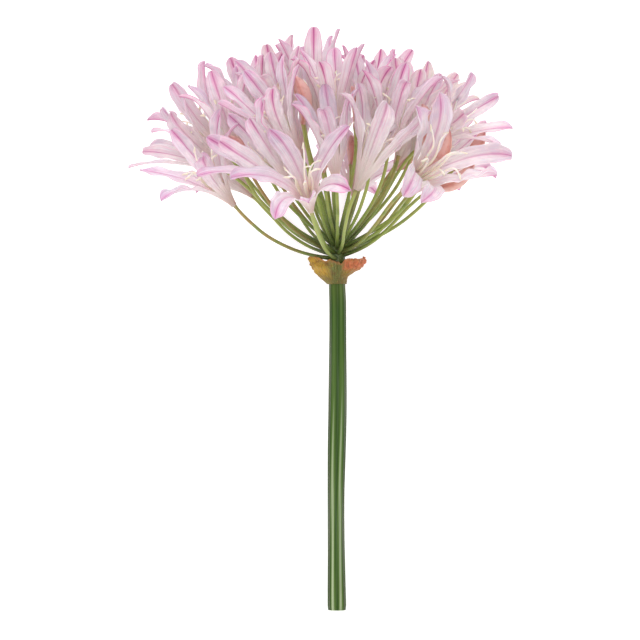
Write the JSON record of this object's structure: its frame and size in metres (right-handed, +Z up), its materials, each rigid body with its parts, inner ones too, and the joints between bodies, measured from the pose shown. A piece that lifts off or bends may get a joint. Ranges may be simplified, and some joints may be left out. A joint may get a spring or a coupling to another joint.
{
  "type": "agapanthus flower head",
  "caption": "Cut agapanthus umbel lying on its side: a straight scape with a papery spathe, stalked open lilac florets and closed coral buds.",
  "frame": {"origin": "middle of the underside of the whole, on the surface it lies on", "axes": "+Z up from the surface, +Y in plan from the cut end of the scape towards the flower head, +X to the right when looking along +Y; the scape rises 23.5 degrees from its cut end"},
  "size_m": [0.1934, 0.28, 0.181],
  "materials": {
    "scape": "satin plant stalk",
    "spathe": "papery bract",
    "pedicel": "satin plant stalk",
    "petal": "soft petal",
    "bud": "waxy bud"
  },
  "bodies": {
    "root": {"bud_back_left": "bud", "bud_back_middle": "bud", "bud_back_right": "bud", "bud_curved": "bud", "bud_left_edge": "bud", "bud_left_low": "bud", "bud_low_middle": "bud", "bud_middle": "bud", "bud_right_inner": "bud", "bud_right_low": "bud", "bud_right_middle": "bud", "bud_right_outer": "bud", "bud_upper": "bud", "bud_upper_left": "bud", "floret_front": "petal", "floret_front_side": "petal", "floret_left_high": "petal", "floret_left_low": "petal", "floret_left_top": "petal", "floret_middle_deep": "petal", "floret_middle_high": "petal", "floret_middle_left": "petal", "floret_rear_high_1": "petal", "floret_rear_low_1": "petal", "floret_rear_low_2": "petal", "floret_rear_low_3": "petal", "floret_rear_low_4": "petal", "floret_rear_middle_1": "petal", "floret_rear_middle_2": "petal", "floret_rear_middle_3": "petal", "floret_rear_middle_4": "petal", "floret_rear_middle_5": "petal", "floret_right_back": "petal", "floret_right_front": "petal", "floret_right_high": "petal", "floret_right_middle": "petal", "floret_top_back": "petal", "floret_top_left": "petal", "floret_top_left_back": "petal", "floret_top_middle": "petal", "floret_top_right": "petal", "floret_top_right_back": "petal", "floret_upper_left_inner": "petal", "floret_upper_left_outer": "petal", "floret_upper_right_inner": "petal", "floret_upper_right_outer": "petal", "pedicels": "pedicel", "scape": "scape", "spathe": "spathe"}
  },
  "joints": []
}
